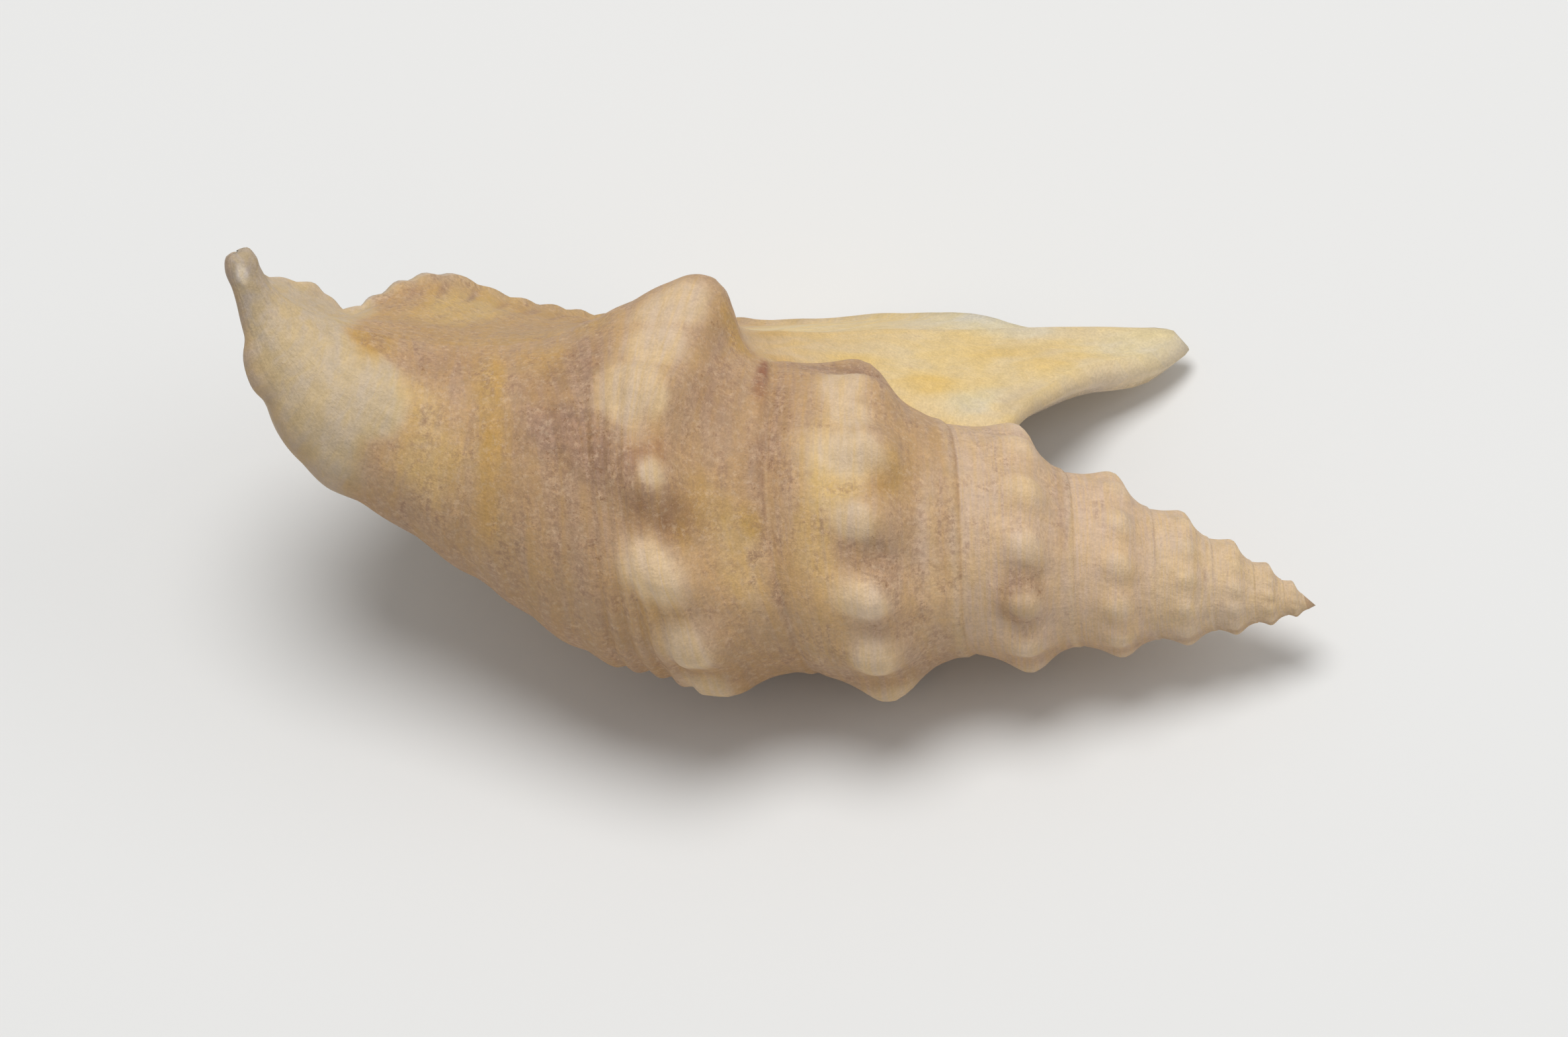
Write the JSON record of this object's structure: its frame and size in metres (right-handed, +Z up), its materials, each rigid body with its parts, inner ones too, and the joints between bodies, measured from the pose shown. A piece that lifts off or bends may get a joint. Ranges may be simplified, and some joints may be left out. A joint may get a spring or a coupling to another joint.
{
  "type": "conch shell",
  "caption": "Knobbed spiral sea shell with a tall stepped spire, a flared outer lip drawn out into one long finger, an open mouth and an upturned canal.",
  "frame": {"origin": "middle of the shell's bounding box, on the surface that it rests on", "axes": "+X towards the apex, with the spiral's axis dipping 11 degrees to that side; +Y towards the flared lip; +Z up, away from the surface"},
  "size_m": [0.1186, 0.063, 0.0509],
  "materials": {
    "shell": "matte chalky shell, cream, ochre and mauve-brown, with a smoother mouth"
  },
  "bodies": {
    "root": {"shell": "shell"}
  },
  "joints": []
}
